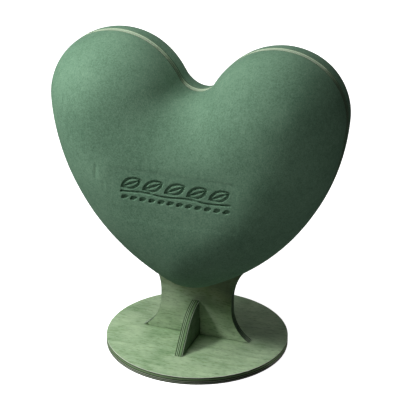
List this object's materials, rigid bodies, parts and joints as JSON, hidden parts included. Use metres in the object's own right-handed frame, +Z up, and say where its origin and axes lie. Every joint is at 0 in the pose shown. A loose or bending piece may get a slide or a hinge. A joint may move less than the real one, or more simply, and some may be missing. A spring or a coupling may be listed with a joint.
{
  "type": "floral foam heart on a stand",
  "caption": "Puffed heart of green floral foam in two halves, glued to a plywood heart board that stands on a crossed foot and a round plywood base.",
  "frame": {"origin": "centre of the round base disc's underside, on the surface it stands on", "axes": "+Z up; the heart and its core board lie in the XZ plane, with +X to the right seen from the front; the front foam half faces -Y"},
  "size_m": [0.3352, 0.21, 0.3645],
  "materials": {
    "floral_foam": "matte",
    "stained_plywood": "matte",
    "hot_melt_glue": "satin",
    "zinc_screw": "satin"
  },
  "bodies": {
    "root": {"base_disc": "stained_plywood", "core_board": "stained_plywood", "cross_fin": "stained_plywood", "front_foam": "floral_foam", "rear_foam": "floral_foam", "front_glue_bead": "hot_melt_glue", "rear_glue_bead": "hot_melt_glue", "base_screw_1": "zinc_screw", "base_screw_2": "zinc_screw", "base_screw_3": "zinc_screw", "base_screw_4": "zinc_screw"}
  },
  "joints": []
}
